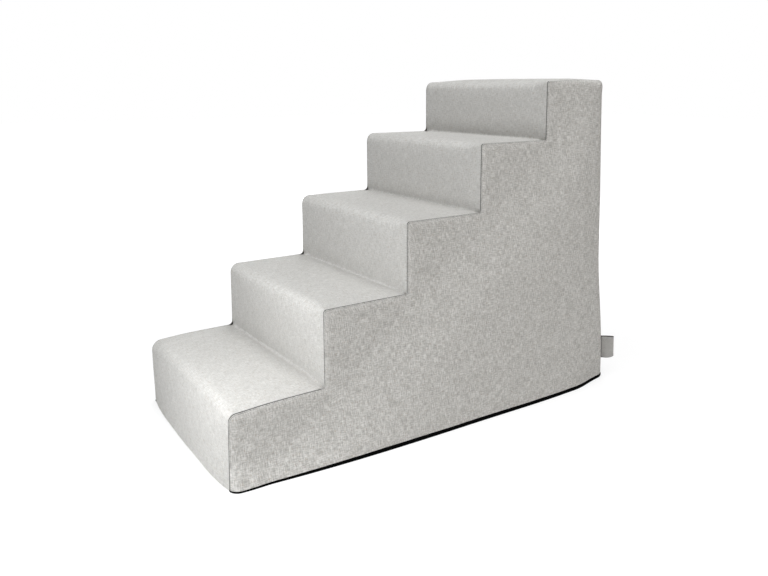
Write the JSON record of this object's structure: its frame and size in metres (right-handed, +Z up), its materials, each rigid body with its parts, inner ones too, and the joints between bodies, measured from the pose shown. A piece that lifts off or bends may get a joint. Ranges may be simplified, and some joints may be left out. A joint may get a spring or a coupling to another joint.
{
  "type": "foam pet steps",
  "caption": "Wide, deep foam steps for a small pet, in a sewn fabric cover with a non-slip base and a zipped back flap.",
  "frame": {"origin": "on the floor, under the middle of the steps", "axes": "+X across the steps to the right as they are climbed, +Y from the front riser to the back, +Z up"},
  "size_m": [0.428, 0.7773, 0.5715],
  "materials": {
    "foam": "open-cell polyurethane foam, cut, cream",
    "linen": "slubby linen-look weave, light grey melange",
    "base": "black non-slip fabric with small rubber dots",
    "label": "smooth woven ribbon, grey",
    "zip_tape": "black woven zip tape",
    "zip_coil": "black nylon coil",
    "zip_metal": "black painted die-cast zip metal"
  },
  "bodies": {
    "steps": {"foam_slab_1": "foam", "foam_slab_2": "foam", "foam_slab_3": "foam", "foam_slab_4": "foam", "foam_slab_5": "foam", "tread_strip": "linen", "side_panel_left": "linen", "side_panel_right": "linen", "back_border_bottom": "linen", "back_border_left": "linen", "back_border_right": "linen", "base_panel": "base", "side_label": "label", "zip_tape_cover": "zip_tape", "zip_tape_closing_end": "zip_tape", "zip_coil_cover": "zip_coil", "zip_coil_closing_end": "zip_coil", "zip_end_stop_cover": "zip_metal", "zip_end_stop_flap": "zip_metal"},
    "flap": {"back_flap": "linen", "zip_tape_flap": "zip_tape", "zip_coil_flap": "zip_coil", "zip_start_stop": "zip_metal"},
    "slider": {"zip_slider": "zip_metal"},
    "pull": {"zip_pull": "zip_metal"}
  },
  "joints": [
    {"name": "flap_fold", "type": "hinge", "parent": "steps", "child": "flap", "pos_m": [0, 0.381, 0.549], "axis": [1, 0, 0], "range_deg": [0, 150]},
    {"name": "zip_slide", "type": "slide", "parent": "steps", "child": "slider", "axis": [0, 0, -1], "range_m": [0, 0.44]},
    {"name": "pull_swing", "type": "hinge", "parent": "slider", "child": "pull", "pos_m": [-0.152, 0.3843, 0.515], "axis": [1, 0, 0], "range_deg": [0, 170]}
  ]
}
